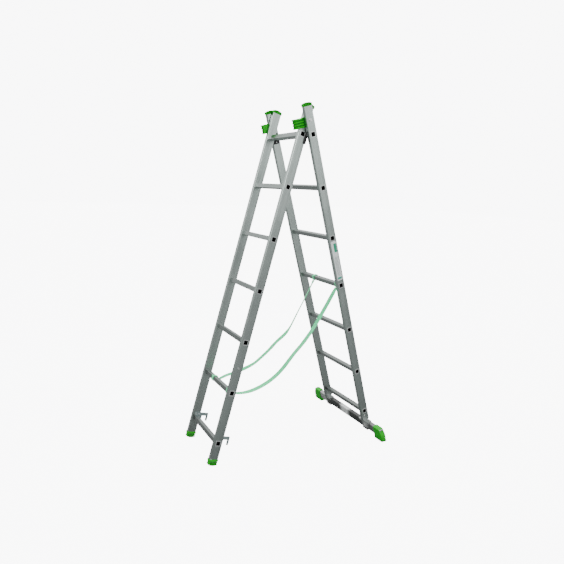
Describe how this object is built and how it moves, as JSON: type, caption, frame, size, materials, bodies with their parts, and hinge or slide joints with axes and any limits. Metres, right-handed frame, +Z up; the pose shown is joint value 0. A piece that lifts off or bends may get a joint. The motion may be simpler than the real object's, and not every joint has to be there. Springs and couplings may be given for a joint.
{
  "type": "combination ladder",
  "caption": "Two-section aluminium combination ladder that stands as an A-frame on a wide stabiliser bar, folds flat, and slides out to a longer straight ladder.",
  "frame": {"origin": "centre of the open ladder's footprint on the floor, from the bounding box", "axes": "+Z up, +X from the fly section's feet towards the stabiliser bar, +Y along the rungs to the ladder's right"},
  "size_m": [1.0788, 0.73, 1.9116],
  "materials": {
    "rail_aluminium": "satin extruded",
    "rung_aluminium": "satin extruded",
    "polished_aluminium": "bright",
    "green_plastic": "semi-gloss moulded",
    "black_plastic": "matt moulded",
    "black_steel": "semi-gloss black",
    "bright_steel": "bright zinc",
    "zinc_steel": "zinc plated",
    "webbing": "woven webbing",
    "label_film": "printed film"
  },
  "bodies": {
    "base": {"bar_foot_left": "green_plastic", "bar_foot_right": "green_plastic", "base_cap_left": "green_plastic", "base_cap_right": "green_plastic", "base_rail_left": "rail_aluminium", "base_rail_right": "rail_aluminium", "base_rung_1": "rung_aluminium", "base_rung_2": "rung_aluminium", "base_rung_3": "rung_aluminium", "base_rung_4": "rung_aluminium", "base_rung_5": "rung_aluminium", "base_rung_6": "rung_aluminium", "base_rung_7": "rung_aluminium", "clamp_bolts": "bright_steel", "clamp_nuts": "bright_steel", "clamp_pad_left": "black_plastic", "clamp_pad_right": "black_plastic", "guide_block_left": "green_plastic", "guide_block_right": "green_plastic", "guide_bolts": "bright_steel", "guide_nuts": "bright_steel", "guide_washers": "bright_steel", "hinge_plate_left": "black_steel", "hinge_plate_right": "black_steel", "hinge_rivets": "bright_steel", "label": "label_film", "rail_plug_left": "black_plastic", "rail_plug_right": "black_plastic", "saddle_left": "polished_aluminium", "saddle_right": "polished_aluminium", "stabiliser_bar": "polished_aluminium", "strap_left_upper": "webbing", "strap_loops_base": "webbing", "strap_right_upper": "webbing"},
    "hinge_shoes": {"hinge_shoe_left": "black_plastic", "hinge_shoe_right": "black_plastic", "hinge_pins": "bright_steel", "strap_joint_left": "webbing", "strap_joint_right": "webbing"},
    "fly": {"fly_cap_left": "green_plastic", "fly_cap_right": "green_plastic", "fly_foot_left": "green_plastic", "fly_foot_right": "green_plastic", "fly_rail_left": "rail_aluminium", "fly_rail_right": "rail_aluminium", "fly_rung_1": "rung_aluminium", "fly_rung_2": "rung_aluminium", "fly_rung_3": "rung_aluminium", "fly_rung_4": "rung_aluminium", "fly_rung_5": "rung_aluminium", "fly_rung_6": "rung_aluminium", "fly_rung_7": "rung_aluminium", "foot_screws": "bright_steel", "hook_left": "zinc_steel", "hook_right": "zinc_steel", "hook_rivets": "bright_steel", "stop_studs": "bright_steel", "strap_left_lower": "webbing", "strap_loops_fly": "webbing", "strap_right_lower": "webbing"}
  },
  "joints": [
    {"name": "section_opening", "type": "hinge", "parent": "base", "child": "hinge_shoes", "pos_m": [-0.02426, 0, 1.75085], "axis": [0, 1, 0], "range_deg": [-31.51, 3.5], "deforming": ["strap_left_upper", "strap_right_upper"]},
    {"name": "fly_extension", "type": "slide", "parent": "hinge_shoes", "child": "fly", "axis": [0.2573, 0, 0.9663], "range_m": [0, 1.12], "deforming": ["strap_left_lower", "strap_right_lower"]}
  ]
}
